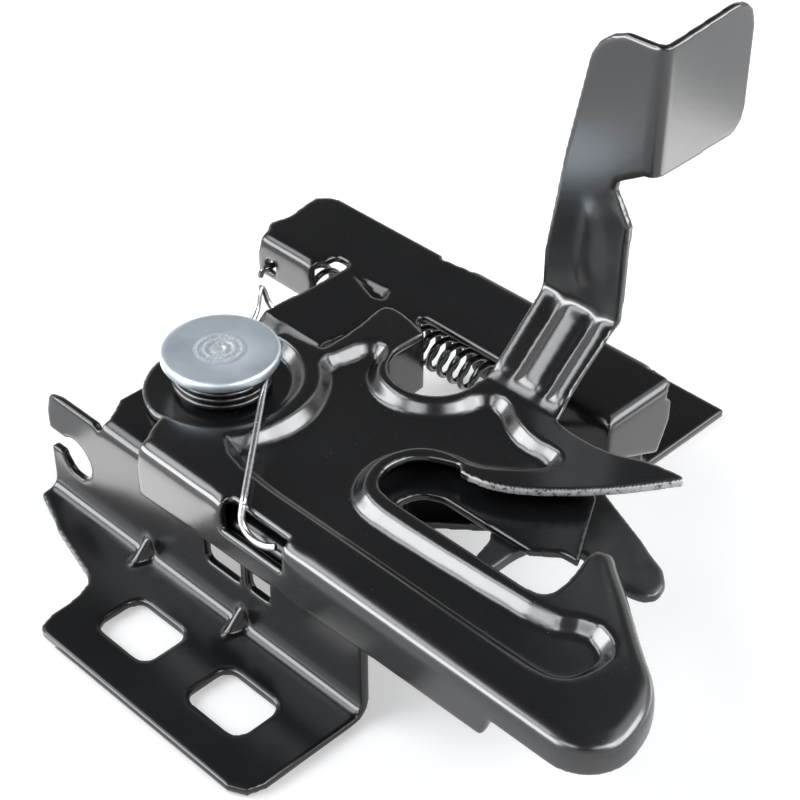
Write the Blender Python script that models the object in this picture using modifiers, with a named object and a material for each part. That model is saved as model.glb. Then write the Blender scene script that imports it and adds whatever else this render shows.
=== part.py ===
"""A bonnet latch: a folded sheet bracket that carries a safety lever, a rotary catch, its pawl and
their springs. The model is made in millimetres about the safety lever's pivot and written in metres."""

import math

import bmesh
import bpy
from mathutils import Matrix, Vector
from mathutils.geometry import delaunay_2d_cdt

MM = 0.001

# Driving dimensions, in millimetres. X runs along the striker slot, Y across the latch, Z up.
SHEET = 2.0                  # thickness of every folded sheet
GAP = 0.3                    # running clearance between stacked pieces
PIVOT_TO_SEAT = (34.7, -42.1)  # from the lever's pivot to the middle of the bolt slots

# Bracket
WEB_Z = 30.0                 # top of the bracket's web
BEAM_Z = 32.0                # top of the raised beam
WALL_Y = -26.0               # outer face of the near wall
WALL_BEND = 3.0              # outer radius of the web's bend
FOOT_BEND = 2.5              # radius of the bend from wall to wing
WALL_LEFT = -30.0
WALL_RIGHT = 70.0
WEB_LEFT = -14.0
WING_NEAR = -57.3
BOLT_SLOT = (16.3, 12.0)
BOLT_SLOT_CORNER = 3.0
BOLT_SLOT_X = (20.4, 49.0)
BOLT_SLOT_Y = -42.1
KEYHOLE = (-20.8, 14.3)      # x and z of the cable's seat in the wall's tail
KEYHOLE_R = 5.3
KEYHOLE_MOUTH = (13.3, 18.4)
SLOT_Y = 2.1                 # middle line of the striker's path
SLOT_R = 6.6
SLOT_END = 52.5
FAR_WALL_Y = 72.4
FAR_WALL = (8.0, 60.5)
FAR_FOOT = 102.8
BEAM_BEND = 2.6
FLANGE_FOOT = 21.0           # lower edge of the beam's left flange
BAY_FLANGE_X = 16.0          # outer face of the flange beside the lever's bay
BAY_FLANGE_Y = (34.0, 46.4)
BAY_FLANGE_FOOT = 14.6
GUSSET_X = (3.5, 34.0)       # the small gussets across the bend of the near wing
GUSSET = (3.2, 6.6)          # half width and reach of a gusset

# Safety lever
LEVER_BASE = WEB_Z + GAP + SHEET
RELIEF = 3.0                 # height of the pressed relief
LEVER_TOP = LEVER_BASE + RELIEF
SLOPE = 2.5                  # width of the relief's slopes
EDGE_ROLL = 2.8
FLANGE_Y = -28.5             # outer face of the lever's flange
NOSE_R = 7.5
NOSE = (118.8, -18.2)
NOSE_FOOT = 28.2
STEP_X = 104.0
WELL_R = 15.2
ARC_R = 17.4
RING_FOOT_R = 23.6
BAY = (30.5, 34.5)
BAY_R = 10.3
BAY_FOOT_R = 15.0
RAMP_FOOT_Y = 39.0
HANDLE_Y = 58.0
HANDLE_Z = 49.6
TAB_X = 66.8
TAB_Y = 86.5
BEAD = 0.8                   # height of the ramp's ribs
HANDLE_BEAD = 0.5

# Pivots
DISC_R = 13.0
DISC_Z = (39.5, 42.0)
LEVER_SHANK_R = 5.0
BUSH_WALL = 1.7
LEVER_BUSH_R = LEVER_SHANK_R + GAP + BUSH_WALL
CATCH_AT = (66.0, 27.0)
PAWL_AT = (40.0, 5.0)
RIVET_R = 4.0
BUSH_R = RIVET_R + GAP + BUSH_WALL
BACKING_Z = 18.0
CATCH_Z = (24.9, 27.7)
CATCH_HUB_R = 11.4
HUB_WALL = 2.4                # sheet left round the pawl's bore

# Springs
LEVER_WIRE = 1.5
LEVER_COIL_R = 10.2
LEVER_COIL_TURNS = 3
PAWL_WIRE = 1.2
MAIN_WIRE = 1.5
MAIN_COIL_R = 4.2
MAIN_Y = 53.6
MAIN_Z = 20.0
MAIN_X = (-29.0, 44.0)
MAIN_TURNS = 22

COLLECTION = "bonnet_latch"
ROOT = "latch_frame"


def clear_scene():
    for old in list(bpy.data.objects):
        bpy.data.objects.remove(old, do_unlink=True)


def collection(name):
    found = bpy.data.collections.new(name)
    bpy.context.scene.collection.children.link(found)
    return found


def material(name, colour, roughness, metallic):
    mat = bpy.data.materials.new(name)
    mat.use_nodes = True
    shader = mat.node_tree.nodes["Principled BSDF"]
    shader.inputs["Base Color"].default_value = (*colour, 1.0)
    shader.inputs["Roughness"].default_value = roughness
    shader.inputs["Metallic"].default_value = metallic
    return mat


def empty(name, at, parent=None):
    obj = bpy.data.objects.new(name, None)
    obj.location = [value * MM for value in at]
    obj.empty_display_size = 0.01
    obj.parent = parent
    parts.objects.link(obj)
    return obj


def add(name, mesh, mat=None, parent=None, cutter=False):
    """Links a mesh as a sub-part under its pivot, or as a hidden cutter."""
    obj = bpy.data.objects.new(name, mesh)
    (cutters if cutter else parts).objects.link(obj)
    obj.parent = parent or root
    if parent:
        mesh.transform(Matrix.Translation(-parent.location))
    if mat:
        mesh.materials.append(mat)
    if cutter:
        obj.hide_render = True
        obj.display_type = "WIRE"
    return obj


def mesh_from(bm, name):
    """Writes a bmesh made in millimetres as a mesh in metres."""
    bmesh.ops.scale(bm, vec=(MM, MM, MM), verts=bm.verts)
    mesh = bpy.data.meshes.new(name)
    bm.to_mesh(mesh)
    bm.free()
    return mesh


def arc(centre, radius, start, end, steps):
    """Points on an arc, in degrees from +X, both ends included."""
    points = []
    for step in range(steps + 1):
        angle = math.radians(start + (end - start) * step / steps)
        points.append((centre[0] + radius * math.cos(angle), centre[1] + radius * math.sin(angle)))
    return points


def rounded(corners, steps=3):
    """A closed outline through corners (x, y) or (x, y, fillet radius)."""
    points = []
    count = len(corners)
    for index, corner in enumerate(corners):
        here = Vector(corner[:2])
        if len(corner) == 2:
            points.append(tuple(here))
            continue
        before = (Vector(corners[index - 1][:2]) - here).normalized()
        after = (Vector(corners[(index + 1) % count][:2]) - here).normalized()
        half = before.angle(after) / 2
        reach = corner[2] / math.tan(half)
        middle = here + (before + after).normalized() * corner[2] / math.sin(half)
        first = here + before * reach - middle
        last = here + after * reach - middle
        start = math.degrees(math.atan2(first.y, first.x))
        turn = math.degrees(math.atan2(first.cross(last), first.dot(last)))
        points.extend(arc(middle, corner[2], start, start + turn, steps))
    return points


def flowing(points, rounds=2, closed=False):
    """Cuts the corners of a run of points so that it flows; the ends of an open run stay."""
    for _ in range(rounds):
        pairs = list(zip(points, points[1:] + (points[:1] if closed else [])))
        cut_corners = []
        for (x0, y0), (x1, y1) in pairs:
            cut_corners.append((0.75 * x0 + 0.25 * x1, 0.75 * y0 + 0.25 * y1))
            cut_corners.append((0.25 * x0 + 0.75 * x1, 0.25 * y0 + 0.75 * y1))
        points = cut_corners if closed else [points[0], *cut_corners[1:-1], points[-1]]
    return points


def raised(points, z):
    return [(x, y, z) for x, y in points]


def offset(points, distance):
    """Moves a closed counter-clockwise outline outwards by a distance."""
    moved = []
    count = len(points)
    for index, point in enumerate(points):
        here = Vector(point)
        before = (here - Vector(points[index - 1])).normalized()
        after = (Vector(points[(index + 1) % count]) - here).normalized()
        normal = Vector((before.y, -before.x)) + Vector((after.y, -after.x))
        normal.normalize()
        stretch = max(0.6, normal.dot(Vector((before.y, -before.x))))
        moved.append(tuple(here + normal * distance / stretch))
    return moved


def sheet_patch(bm, outline, lines=(), loops=(), holes=(), place=None):
    """Fills a flat outline whose points (u, v, height) keep their own heights, with inner lines,
    closed inner loops and holes. place turns (u, v, height) into a point of the part."""
    points = []
    index = {}
    edges = []

    def number(point):
        key = (round(point[0], 3), round(point[1], 3))
        if key not in index:
            index[key] = len(points)
            points.append(point)
        return index[key]

    def chain(run, closed):
        numbers = [number(point) for point in run]
        pairs = list(zip(numbers, numbers[1:]))
        if closed:
            pairs.append((numbers[-1], numbers[0]))
        edges.extend(pairs)

    for run in [outline, *loops, *holes]:
        chain(run, True)
    for run in lines:
        chain(run, False)
    flat = [Vector((point[0], point[1])) for point in points]
    out_points, _, out_faces, origins, _, _ = delaunay_2d_cdt(flat, edges, [], 1, 1e-4, True)
    verts = []
    for spot, origin in zip(out_points, origins):
        height = points[origin[0]][2] if origin else outline[0][2]
        verts.append(bm.verts.new(place((spot.x, spot.y, height))))
    for face in out_faces:
        middle = sum((out_points[corner] for corner in face), Vector((0.0, 0.0))) / len(face)
        if inside(middle, outline) and not any(inside(middle, hole) for hole in holes):
            bm.faces.new([verts[corner] for corner in face])


def inside(point, outline):
    """Says whether a point lies in a closed outline."""
    hit = False
    count = len(outline)
    for index in range(count):
        x0, y0 = outline[index][:2]
        x1, y1 = outline[(index + 1) % count][:2]
        if (y0 > point[1]) != (y1 > point[1]):
            if point[0] < x0 + (point[1] - y0) * (x1 - x0) / (y1 - y0):
                hit = not hit
    return hit


def flat_place(point):
    return point


def key_of(point):
    return (round(point[0], 2), round(point[1], 2), round(point[2], 2))


def run_of_edges(bm, run):
    """The boundary edges that follow a run of points."""
    keys = [key_of(point) for point in run]
    pairs = {frozenset(pair) for pair in zip(keys, keys[1:])}
    return [edge for edge in bm.edges
            if frozenset(key_of(vert.co) for vert in edge.verts) in pairs]


def aims(run):
    """The outward direction at each point of a run that goes counter-clockwise round a patch."""
    found = {}
    for index, point in enumerate(run):
        before = Vector(run[max(index - 1, 0)][:2])
        here = Vector(point[:2])
        after = Vector(run[min(index + 1, len(run) - 1)][:2])
        sides = [Vector((step.y, -step.x)).normalized()
                 for step in (here - before, after - here) if step.length > 0]
        normal = sum(sides, Vector((0.0, 0.0))).normalized()
        found[key_of(point)] = normal / max(0.6, normal.dot(sides[0]))
    return found


def roll_down(bm, run, radius, foot, steps=4):
    """Bends a run of the patch's edge down over a radius, then takes it to the foot's height,
    which may be a function of the place."""
    edges = run_of_edges(bm, run)
    direction = aims(run)
    for step in range(steps + 1):
        edges, direction = roll_step(bm, edges, direction, radius, foot, step, steps)
    return edges


def roll_step(bm, edges, direction, radius, foot, step, steps):
    made = bmesh.ops.extrude_edge_only(bm, edges=edges)["geom"]
    verts = {item for item in made if isinstance(item, bmesh.types.BMVert)}
    turned = {}
    for vert in verts:
        aim = direction[key_of(vert.co)]
        if step < steps:
            first = math.pi / 2 * step / steps
            second = math.pi / 2 * (step + 1) / steps
            out = radius * (math.sin(second) - math.sin(first))
            down = radius * (math.cos(first) - math.cos(second))
            vert.co += Vector((aim.x * out, aim.y * out, -down))
        else:
            vert.co.z = foot(vert.co.x, vert.co.y) if callable(foot) else foot
        turned[key_of(vert.co)] = aim
    row = [item for item in made
           if isinstance(item, bmesh.types.BMEdge) and all(vert in verts for vert in item.verts)]
    return row, turned


def close_sheet(bm, name, mat, parent=None):
    """Joins the patches, faces them up and outwards, and gives the sheet its thickness."""
    bmesh.ops.remove_doubles(bm, verts=bm.verts, dist=0.02)
    bmesh.ops.dissolve_degenerate(bm, dist=0.001, edges=bm.edges)
    bmesh.ops.recalc_face_normals(bm, faces=bm.faces)
    highest = max((face for face in bm.faces if abs(face.normal.z) > 0.9), key=lambda face: face.calc_area())
    if highest.normal.z < 0:
        bmesh.ops.reverse_faces(bm, faces=bm.faces)
    obj = add(name, mesh_from(bm, name), mat, parent)
    wall = obj.modifiers.new("sheet", "SOLIDIFY")
    wall.thickness = SHEET * MM
    wall.offset = -1.0
    wall.use_even_offset = True
    return obj


def slab(name, outline, low, high, holes=(), mat=None, parent=None, cutter=False):
    """A flat piece cut from plate: a filled outline with holes, between two heights."""
    curve = bpy.data.curves.new(name, "CURVE")
    curve.dimensions = "2D"
    curve.fill_mode = "BOTH"
    curve.extrude = (high - low) / 2 * MM
    for run in [outline, *holes]:
        spline = curve.splines.new("POLY")
        spline.points.add(len(run) - 1)
        for point, (x, y) in zip(spline.points, run):
            point.co = (x * MM, y * MM, 0.0, 1.0)
        spline.use_cyclic_u = True
    mesh = meshed(curve, (0.0, 0.0, (low + high) / 2 * MM))
    return add(name, mesh, mat, parent, cutter)


def meshed(curve, at=(0.0, 0.0, 0.0)):
    """Turns a curve into a closed mesh with its caps welded."""
    guide = bpy.data.objects.new(curve.name, curve)
    guide.location = at
    bpy.context.scene.collection.objects.link(guide)
    bpy.context.view_layer.update()
    graph = bpy.context.evaluated_depsgraph_get()
    mesh = bpy.data.meshes.new_from_object(guide.evaluated_get(graph))
    mesh.transform(guide.matrix_world)
    bpy.data.objects.remove(guide, do_unlink=True)
    bm = bmesh.new()
    bm.from_mesh(mesh)
    bmesh.ops.remove_doubles(bm, verts=bm.verts, dist=1e-6)
    bmesh.ops.recalc_face_normals(bm, faces=bm.faces)
    bm.to_mesh(mesh)
    bm.free()
    return mesh


def box_cutter(name, low, high):
    bm = bmesh.new()
    bmesh.ops.create_cube(bm, size=1.0)
    size = [top - bottom for bottom, top in zip(low, high)]
    middle = [(top + bottom) / 2 for bottom, top in zip(low, high)]
    bmesh.ops.scale(bm, vec=size, verts=bm.verts)
    bmesh.ops.translate(bm, vec=middle, verts=bm.verts)
    return add(name, mesh_from(bm, name), cutter=True)


def combine(obj, other, operation):
    step = obj.modifiers.new(other.name, "BOOLEAN")
    step.operation = operation
    step.object = other
    step.solver = "EXACT"


def cut(obj, cutter):
    combine(obj, cutter, "DIFFERENCE")


def join(obj, other):
    combine(obj, other, "UNION")


def turned(name, profile, mat, at=(0.0, 0.0), segments=32):
    """A turned piece: the profile (radius, z) runs down its outer side and back up its bore."""
    bm = bmesh.new()
    verts = [bm.verts.new((radius, 0.0, z)) for radius, z in profile]
    closed = profile[0][0] > 0
    pairs = list(zip(verts, verts[1:] + ([verts[0]] if closed else [])))
    for first, second in pairs:
        bm.edges.new((first, second))
    obj = add(name, mesh_from(bm, name), mat)
    obj.location = (at[0] * MM, at[1] * MM, 0.0)
    spin = obj.modifiers.new("turning", "SCREW")
    spin.steps = segments
    spin.render_steps = segments
    spin.use_merge_vertices = True
    spin.merge_threshold = 0.00001
    spin.use_smooth_shade = True
    return obj


def wire(name, points, diameter, mat, parent=None):
    """A round wire through its points."""
    curve = bpy.data.curves.new(name, "CURVE")
    curve.dimensions = "3D"
    curve.bevel_depth = diameter / 2 * MM
    curve.bevel_resolution = 2
    curve.use_fill_caps = True
    spline = curve.splines.new("POLY")
    spline.points.add(len(points) - 1)
    for point, (x, y, z) in zip(spline.points, points):
        point.co = (x * MM, y * MM, z * MM, 1.0)
    mesh = meshed(curve)
    return add(name, mesh, mat, parent)


def smooth(obj, angle=35):
    mesh = obj.data
    mesh.shade_smooth()
    mesh.set_sharp_from_angle(angle=math.radians(angle))


# Bracket


def bolt_slot(x):
    """The rounded slot for one fixing bolt, with its middle at x."""
    half_x, half_y = BOLT_SLOT[0] / 2, BOLT_SLOT[1] / 2
    r = BOLT_SLOT_CORNER
    return rounded([(x - half_x, BOLT_SLOT_Y - half_y, r), (x + half_x, BOLT_SLOT_Y - half_y, r),
                    (x + half_x, BOLT_SLOT_Y + half_y, r), (x - half_x, BOLT_SLOT_Y + half_y, r)])


def web_and_beam(bm):
    """The bracket's top: the web with the striker's slot, the step up and the beam."""
    fold = WALL_Y + WALL_BEND
    near_fold = [(-10.5, fold), (WALL_RIGHT, fold)]
    slot = arc((SLOT_END + SLOT_R, SLOT_Y), SLOT_R, -90, -270, 8)
    web = [*near_fold, (86.0, fold), (86.0, SLOT_Y - SLOT_R), *slot,
           (80.7, 9.1), (85.5, 13.1), (88.9, 13.6), (90.2, 13.0), (80.0, 30.5), (74.0, 35.5),
           (52.0, 35.5), (42.0, 26.0), (20.0, 26.0), (5.5, 22.5)]
    beam = [(4.2, 25.2, BEAM_Z), (5.4, 32.2, BEAM_Z), (BAY_FLANGE_X - BEAM_BEND, BAY_FLANGE_Y[0], BEAM_Z),
            (BAY_FLANGE_X - BEAM_BEND, BAY_FLANGE_Y[1], BEAM_Z), (11.4, 49.3, BEAM_Z),
            (49.0, 49.3, BEAM_Z), (50.0, 51.5, BEAM_Z), (65.4, 51.5, BEAM_Z), (65.4, 70.4, BEAM_Z)]
    far_flat = FAR_WALL_Y - BEAM_BEND
    far_edge = [(FAR_WALL[1] + 1.5, far_flat + 1.0), (FAR_WALL[1], far_flat), (FAR_WALL[0], far_flat),
                (FAR_WALL[0] - 1.2, far_flat + 0.6), (0.4, 69.6), (-0.4, 68.9), (-1.6, 70.2),
                (-37.5, 70.2), (-39.8, 69.2), (-42.1, 66.5), (-41.3, 60.8), (-40.3, 56.6),
                (-41.6, 51.5), (-40.0, 47.9), (-21.0, 47.9), (-19.8, 49.0), (-19.4, 52.6),
                (-15.2, 52.6), (-14.4, 50.4), (-14.4, 36.0), (-15.0, 25.2)]
    left = [(WEB_LEFT - 0.6, 22.5, WEB_Z), (WEB_LEFT, -17.5, WEB_Z)]
    outline = [*raised(web, WEB_Z), *beam, *raised(far_edge, BEAM_Z), *left]
    foot = [(WEB_LEFT - 0.6, 22.5, WEB_Z), (5.5, 22.5, WEB_Z)]
    top = [(-15.0, 25.2, BEAM_Z), (4.2, 25.2, BEAM_Z)]
    dimple = [(-13.0, 50.2, BEAM_Z), (-1.6, 46.4, BEAM_Z), (1.6, 47.4, BEAM_Z), (-0.4, 51.4, BEAM_Z)]
    low = [(-3.2, 49.0, BEAM_Z - 1.8), (-0.6, 48.1, BEAM_Z - 1.8), (-0.9, 49.9, BEAM_Z - 1.8)]
    sheet_patch(bm, outline, lines=[foot, top], loops=[dimple, low], place=flat_place)
    return raised(near_fold, WEB_Z)


def near_wall_and_wing(bm):
    """The wall with its cable keyhole and windows, and the wing that bolts to the car."""
    top = WEB_Z - WALL_BEND
    foot = SHEET + FOOT_BEND
    side = math.degrees(math.asin((KEYHOLE_MOUTH[1] - KEYHOLE[1]) / KEYHOLE_R))
    under = math.degrees(math.asin((KEYHOLE_MOUTH[0] - KEYHOLE[1]) / KEYHOLE_R))
    keyhole = arc(KEYHOLE, KEYHOLE_R, 180 - side, -180 - under, 14)
    wall = [(WALL_LEFT, foot), (WALL_RIGHT, foot), (WALL_RIGHT, top), (-10.5, top), (-13.0, top + 1.5),
            (WALL_LEFT + 1.5, top + 1.5), (WALL_LEFT, top), (WALL_LEFT, KEYHOLE_MOUTH[1]), *keyhole,
            (WALL_LEFT, KEYHOLE_MOUTH[0])]
    windows = [rounded([(23.0, 12.8, 1.2), (34.0, 12.8, 1.2), (34.0, 20.5, 1.2), (23.0, 20.5, 1.2)]),
               rounded([(36.3, 13.2, 1.2), (43.0, 13.2, 1.2), (43.0, 20.5, 1.2), (36.3, 20.5, 1.2)])]
    sheet_patch(bm, raised(wall, WALL_Y), holes=[raised(run, WALL_Y) for run in windows],
                place=lambda point: (point[0], point[2], point[1]))
    line = WALL_Y - FOOT_BEND
    wing = [(WALL_LEFT, line), (-29.5, -30.5), (-19.7, -34.3), (-17.0, -35.6), (-0.7, -40.0),
            (1.2, -41.4), (2.8, -45.7), (3.3, -52.5), (4.6, -56.2), (6.6, WING_NEAR),
            (64.8, WING_NEAR), (68.4, -55.4), (69.6, -52.0), (WALL_RIGHT, line)]
    sheet_patch(bm, raised(wing, SHEET), holes=[raised(bolt_slot(x), SHEET) for x in BOLT_SLOT_X],
                place=flat_place)


def bend_strip(bm, ends, centre, radius, start, end, steps=4):
    """A bent strip along X between two ends, round a centre (y, z), from one angle to another."""
    rows = []
    for y, z in arc(centre, radius, start, end, steps):
        rows.append([bm.verts.new((x, y, z)) for x in ends])
    for low, high in zip(rows, rows[1:]):
        bm.faces.new([low[0], low[1], high[1], high[0]])


def far_wall_and_foot(bm, row):
    """The far wall goes down from the beam and turns out into the far foot."""
    edges = row
    for shift in [(0.0, 0.7, -1.8), (0.0, 1.8, -0.7), (0.0, FAR_FOOT - FAR_WALL_Y - 2.5, 0.0)]:
        made = bmesh.ops.extrude_edge_only(bm, edges=edges)["geom"]
        verts = {item for item in made if isinstance(item, bmesh.types.BMVert)}
        bmesh.ops.translate(bm, vec=shift, verts=list(verts))
        edges = [item for item in made if isinstance(item, bmesh.types.BMEdge)
                 and all(vert in verts for vert in item.verts)]


def end_foot(x, y):
    """Lower edge of the flange round the beam's right end: short in front, deep at the end."""
    return 23.5 if x < 66.0 else (21.5 if y < 52 else 12.0)


def build_frame_plate():
    bm = bmesh.new()
    web_and_beam(bm)
    near_wall_and_wing(bm)
    fold = WALL_Y + WALL_BEND
    bend_strip(bm, (-10.5, WALL_RIGHT), (fold, WEB_Z - WALL_BEND), WALL_BEND, 180, 90)
    line = WALL_Y - FOOT_BEND
    bend_strip(bm, (WALL_LEFT, WALL_RIGHT), (line, SHEET + FOOT_BEND), FOOT_BEND, 0, -90)
    bmesh.ops.remove_doubles(bm, verts=bm.verts, dist=0.02)
    roll_down(bm, [(-40.0, 47.9, BEAM_Z), (-21.0, 47.9, BEAM_Z)], BEAM_BEND, FLANGE_FOOT)
    side = BAY_FLANGE_X - BEAM_BEND
    roll_down(bm, [(side, y, BEAM_Z) for y in BAY_FLANGE_Y], BEAM_BEND, BAY_FLANGE_FOOT)
    roll_down(bm, [(50.0, 51.5, BEAM_Z), (65.4, 51.5, BEAM_Z), (65.4, 70.4, BEAM_Z)], BEAM_BEND, end_foot)
    far_flat = FAR_WALL_Y - BEAM_BEND
    row = roll_down(bm, [(FAR_WALL[1], far_flat, BEAM_Z), (FAR_WALL[0], far_flat, BEAM_Z)],
                    BEAM_BEND, SHEET + 2.5)
    far_wall_and_foot(bm, row)
    plate = close_sheet(bm, "frame_plate", black_sheet)
    for number, x in enumerate(GUSSET_X):
        join(plate, wing_gusset(f"wing_gusset_{number}", x))
    for number, (x, y, radius) in enumerate([(0, 0, LEVER_SHANK_R + GAP), (*CATCH_AT, RIVET_R + GAP),
                                             (*PAWL_AT, RIVET_R + GAP)]):
        hole = slab(f"rivet_hole_{number}", arc((x, y), radius, 0, 345, 23), 26.0, 32.0, cutter=True)
        cut(plate, hole)
    hook_hole = box_cutter("hook_hole", (-37.2, 40.0, 22.6), (-33.8, 49.0, 26.0))
    cut(plate, hook_hole)
    tail = [(65.0, 9.0), (75.0, 9.0), (75.0, 24.5), (71.6, 24.0)]
    slant = slab("end_slant", tail, -3.0, 3.0, cutter=True)
    slant.data.transform(stand_on_side(68.0))
    cut(plate, slant)
    notch = slab("end_notch", arc((70.8, 28.6), 2.0, 0, 345, 23), -3.5, 3.5, cutter=True)
    notch.data.transform(stand_on_side(67.5))
    cut(plate, notch)
    smooth(plate)
    return plate


def wing_gusset(name, x):
    """A small wedge that fills the bend between the near wall and the wing, narrow at its crest."""
    half, reach = GUSSET
    root_y, root_z = WALL_Y + 1.0, 1.0
    crest = 0.4
    corners = [(x - half, root_y, root_z), (x + half, root_y, root_z),
               (x - crest, root_y, SHEET + reach), (x + crest, root_y, SHEET + reach),
               (x - crest, WALL_Y - reach, root_z), (x + crest, WALL_Y - reach, root_z)]
    faces = [(0, 1, 3, 2), (0, 4, 5, 1), (2, 3, 5, 4), (0, 2, 4), (1, 5, 3)]
    bm = bmesh.new()
    verts = [bm.verts.new(corner) for corner in corners]
    for face in faces:
        bm.faces.new([verts[number] for number in face])
    bmesh.ops.recalc_face_normals(bm, faces=bm.faces)
    return add(name, mesh_from(bm, name), cutter=True)


def stand_on_side(x):
    """Turns a slab drawn in (y, z) so that it stands across X at a place."""
    turn = Matrix(((0, 0, 1, 0), (1, 0, 0, 0), (0, 1, 0, 0), (0, 0, 0, 1)))
    return Matrix.Translation((x * MM, 0, 0)) @ turn


# Safety lever


def lever_channel():
    """The foot of the pressed channel: along the striker slot, round the bay and the pivot ring."""
    bay = arc(BAY, BAY_FOOT_R, -6, -125, 11)
    ring = arc((0, 0), RING_FOOT_R, 57, -35, 11)
    path = [(29.0, -16.0), (56.0, -16.0), (80.0, -16.0), (103.5, -16.0), (108.5, -15.4), (111.2, -13.0),
            (112.4, -7.0), (110.7, -4.4), (106.1, -3.0), (99.8, -7.6), (78.0, -8.7), (57.5, -9.4),
            (50.5, -8.6), (45.8, -5.6), (43.0, -0.8), (42.0, 4.0), (42.8, 9.0), (45.8, 14.4),
            (51.5, 17.6), (58.2, 18.0), (64.0, 22.6), (68.0, 26.6), (69.0, 28.4),
            (67.4, 29.4), (61.0, 28.9), (55.0, 30.8), (50.4, 34.0), (47.2, 34.8), *bay, (18.9, 25.4),
            (18.2, 29.0), (16.4, 30.2), (14.8, 28.6), (14.2, 24.0), *ring]
    return flowing(path, 1, closed=True)


def lever_outline():
    near = FLANGE_Y + EDGE_ROLL
    nose = arc(NOSE, NOSE_R, -90, 10, 9)
    back = flowing([nose[-1], (125.0, -11.6), (121.6, -6.2), (114.8, -1.4), (104.3, 7.2), (97.6, 11.9),
                    (94.2, 15.0)])
    rim = [(5.0, near), (56.0, near), (STEP_X - 1, near), (STEP_X + 1, near), *nose, *back[1:]]
    mouth = [(93.0, 15.6), *flowing([(92.8, 14.4), (93.0, 12.5), (94.6, 7.5), (95.6, 2.0), (95.0, -2.2),
                                     (91.6, -3.2), (87.0, -3.2), (70.0, -3.3), (54.6, -3.4), (49.8, -2.2),
                                     (47.6, 1.8), (47.4, 5.6), (48.6, 9.4), (51.8, 12.0), (55.0, 13.4),
                                     (57.0, 14.4)])]
    horn = [*flowing([(58.8, 12.4), (65.3, 13.6), (71.1, 16.9), (77.7, 22.9), (83.8, 29.6), (88.5, 36.0),
                      (92.6, 42.4)]),
            *flowing([(91.6, 43.1), (88.0, 43.0), (82.4, 41.8), (76.8, 38.8), (70.0, 38.0), (64.5, 38.4)])]
    foot = [(x, RAMP_FOOT_Y) for x, _ in reversed(ramp_columns())]
    bay = arc(BAY, BAY_R, 12, -186, 18)
    lobe = flowing([(20.4, 41.4), (14.0, 43.4), (8.0, 43.8), (6.0, 42.0), (8.1, 32.6), (8.6, 22.0)])
    ring = [(3.0, 21.0), (-2.0, 20.6)]
    high = [*rim, *mouth, *horn, *foot, *bay, *lobe, *ring]
    well_far = [(-3.2, 18.2)]
    left = arc((0, 0), ARC_R, 104, 262, 18)
    end = [(0.4, -16.4)]
    strip = [(2.0, -18.6)]
    outline = [*raised(high + well_far, LEVER_TOP), *raised(left + end, LEVER_BASE),
               *raised(strip, LEVER_TOP)]
    return outline, raised(rim, LEVER_TOP), well_far[0], left[0], end[0], strip[0]


def ramp_columns():
    """The ramp's columns from left to right: place at its foot, and 1 on a rib or -1 in a valley."""
    return [(40.8, 0), (41.8, 1), (43.8, 1), (46.6, -1), (49.6, 1), (53.8, 1), (55.9, -1), (58.0, 1),
            (60.4, 1), (61.5, 0)]


def ramp_rows():
    """The ramp's rows: y, z and how much of the ribs' height is there."""
    return [(RAMP_FOOT_Y, LEVER_TOP, 0.0), (41.0, 36.3, 0.2), (42.6, 37.5, 1.0), (49.5, 42.7, 1.0),
            (55.6, 47.2, 1.0), (57.1, 48.4, 0.5), (HANDLE_Y, HANDLE_Z, 0.0)]


def ramp_top_x(x):
    """The ramp leans slightly to the left on its way up."""
    return x - 1.4 + 0.6 * (x - 40.8) / 20.7


def lever_ramp(bm):
    """The ramp from the lever's plate up to the handle, with three pressed ribs."""
    rows = ramp_rows()
    grid = []
    for y, z, share in rows:
        along = (y - RAMP_FOOT_Y) / (HANDLE_Y - RAMP_FOOT_Y)
        row = []
        for x, rib in ramp_columns():
            lift = BEAD * rib * share
            place = (x + (ramp_top_x(x) - x) * along, y - 0.59 * lift, z + 0.81 * lift)
            row.append(bm.verts.new(place))
        grid.append(row)
    for low, high in zip(grid, grid[1:]):
        for column in range(len(low) - 1):
            bm.faces.new([low[column], low[column + 1], high[column + 1], high[column]])


def lever_handle(bm):
    """The handle's upright plate with its long bead, and the finger tab bent back from its edge."""
    bend = TAB_X - 2.6
    foot = [(ramp_top_x(x), HANDLE_Z) for x, _ in ramp_columns()]
    side = [(61.0, 62.0), (61.3, 73.6), (57.0, 80.6), (57.6, 82.8), (bend, 86.8), (bend, 115.5),
            (57.0, 115.4), (53.2, 113.9), (50.2, 111.4), (48.4, 108.1), (43.5, 84.5), (39.5, 58.5)]
    bead = [(51.9, 52.4), (54.8, 54.0), (55.7, 58.0), (55.2, 66.0), (53.9, 73.6), (51.6, 76.0),
            (49.5, 73.6), (48.4, 66.0), (48.0, 58.0), (49.0, 54.0)]
    crown = offset(bead, -1.3)
    sheet_patch(bm, raised(foot + side, HANDLE_Y),
                loops=[raised(bead, HANDLE_Y), raised(crown, HANDLE_Y - HANDLE_BEAD)],
                place=lambda point: (point[0], point[2], point[1]))
    rows = []
    for x, y in arc((bend, HANDLE_Y + 2.6), 2.6, -90, 0, 4):
        rows.append([bm.verts.new((x, y, z)) for z in (86.8, 115.5)])
    for low, high in zip(rows, rows[1:]):
        bm.faces.new([low[0], high[0], high[1], low[1]])
    start = HANDLE_Y + 2.6
    tab = rounded([(start, 86.8), (TAB_Y, 87.2, 5.0), (TAB_Y, 117.9, 6.0), (start, 115.5)])
    sheet_patch(bm, raised(tab, TAB_X), place=lambda point: (point[2], point[0], point[1]))


def flange_foot(x, y):
    """Lower edge of the lever's flange: deep along the latch, stepped up round the nose."""
    if x > STEP_X or y > FLANGE_Y + 1:
        return NOSE_FOOT
    return 21.3 + 1.7 * (x - 5.0) / (STEP_X - 5.0)


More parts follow.
